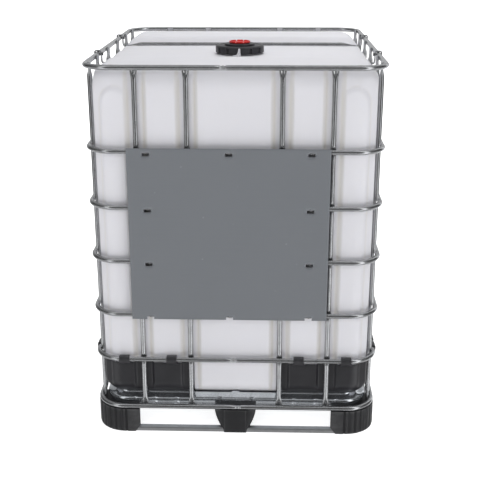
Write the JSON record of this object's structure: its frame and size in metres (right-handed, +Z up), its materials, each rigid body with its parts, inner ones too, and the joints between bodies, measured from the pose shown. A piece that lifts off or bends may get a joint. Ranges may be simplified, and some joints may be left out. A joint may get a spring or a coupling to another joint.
{
  "type": "intermediate bulk container",
  "caption": "Caged bulk liquid container: a blow-moulded bottle in a welded round-tube cage on a steel and plastic pallet, with a screw lid, bottom outlet valve and label plate.",
  "frame": {"origin": "on the floor, under the middle of the pallet", "axes": "+Z up, +X along the short side, +Y along the long side, towards the side with the outlet valve; the label plate is on the -Y side"},
  "size_m": [1.0236, 1.2246, 1.339],
  "materials": {
    "bottle_hdpe": "natural white blow-moulded polyethylene, satin, slightly translucent",
    "cage_steel": "galvanised round tube, semi-gloss",
    "tray_steel": "bright galvanised pressed sheet",
    "floor_frame_steel": "galvanised strip",
    "label_plate_steel": "grey coated sheet, satin",
    "guard_plastic": "black moulded polyethylene",
    "foot_plastic": "black moulded polyethylene, scuffed",
    "closure_plastic": "black moulded polyethylene, satin",
    "vent_plug_red": "red moulded polyethylene",
    "seal_rubber": "black sealing rubber"
  },
  "bodies": {
    "container": {"bar_screw_back_left": "cage_steel", "bar_screw_back_right": "cage_steel", "bar_screw_front_left": "cage_steel", "bar_screw_front_right": "cage_steel", "bottle": "bottle_hdpe", "bottom_rail": "cage_steel", "corner_foot_back_left": "foot_plastic", "corner_foot_back_right": "foot_plastic", "corner_foot_front_left": "foot_plastic", "corner_foot_front_right": "foot_plastic", "corner_guard_back_left": "guard_plastic", "corner_guard_back_right": "guard_plastic", "corner_guard_front_left": "guard_plastic", "corner_guard_front_right": "guard_plastic", "cross_bar_back": "cage_steel", "cross_bar_front": "cage_steel", "floor_frame": "floor_frame_steel", "hoop_1": "cage_steel", "hoop_2": "cage_steel", "hoop_3": "cage_steel", "hoop_4": "cage_steel", "hoop_5": "cage_steel", "label_plate": "label_plate_steel", "middle_foot_back": "foot_plastic", "middle_foot_front": "foot_plastic", "middle_foot_left": "foot_plastic", "middle_foot_right": "foot_plastic", "neck_gasket": "seal_rubber", "pallet_tray": "tray_steel", "post_back_1": "cage_steel", "post_back_2": "cage_steel", "post_back_3": "cage_steel", "post_back_4": "cage_steel", "post_front_1": "cage_steel", "post_front_2": "cage_steel", "post_front_3": "cage_steel", "post_front_4": "cage_steel", "post_left_1": "cage_steel", "post_left_2": "cage_steel", "post_left_3": "cage_steel", "post_left_4": "cage_steel", "post_left_5": "cage_steel", "post_left_6": "cage_steel", "post_right_1": "cage_steel", "post_right_2": "cage_steel", "post_right_3": "cage_steel", "post_right_4": "cage_steel", "post_right_5": "cage_steel", "post_right_6": "cage_steel", "top_rail": "cage_steel", "union_nut": "closure_plastic", "valve_body": "closure_plastic"},
    "lid_seal": {"lid_gasket": "seal_rubber"},
    "filling_lid": {"lid": "closure_plastic"},
    "vent_seal": {"vent_plug_gasket": "seal_rubber"},
    "vent": {"vent_plug": "vent_plug_red"},
    "valve_spindle": {"valve_disc": "seal_rubber", "valve_handle": "closure_plastic"},
    "outlet_seal": {"outlet_cap_gasket": "seal_rubber"},
    "outlet_closure": {"outlet_cap": "closure_plastic"}
  },
  "joints": [
    {"name": "lid_lift", "type": "slide", "parent": "container", "child": "lid_seal", "axis": [0, 0, 1], "range_m": [0, 0.0241]},
    {"name": "lid_turn", "type": "hinge", "parent": "lid_seal", "child": "filling_lid", "pos_m": [0, 0, 1.32], "axis": [0, 0, 1], "range_deg": [0, 1080]},
    {"name": "vent_lift", "type": "slide", "parent": "filling_lid", "child": "vent_seal", "axis": [0, 0, 1], "range_m": [0, 0.0081]},
    {"name": "vent_turn", "type": "hinge", "parent": "vent_seal", "child": "vent", "pos_m": [0, 0, 1.34], "axis": [0, 0, 1], "range_deg": [0, 360]},
    {"name": "valve_turn", "type": "hinge", "parent": "container", "child": "valve_spindle", "pos_m": [0, 0.5275, 0.24], "axis": [0, 0, 1], "range_deg": [0, 90]},
    {"name": "outlet_cap_pull", "type": "slide", "parent": "container", "child": "outlet_seal", "axis": [0, 1, 0], "range_m": [0, 0.0181]},
    {"name": "outlet_cap_turn", "type": "hinge", "parent": "outlet_seal", "child": "outlet_closure", "pos_m": [0, 0.58, 0.178], "axis": [0, 1, 0], "range_deg": [0, 720]}
  ],
  "couplings": [
    {"joint": "lid_lift", "follows": "lid_turn", "m_per_rad": 0.0012732},
    {"joint": "vent_lift", "follows": "vent_turn", "m_per_rad": 0.0012732},
    {"joint": "outlet_cap_pull", "follows": "outlet_cap_turn", "m_per_rad": 0.0014324}
  ]
}
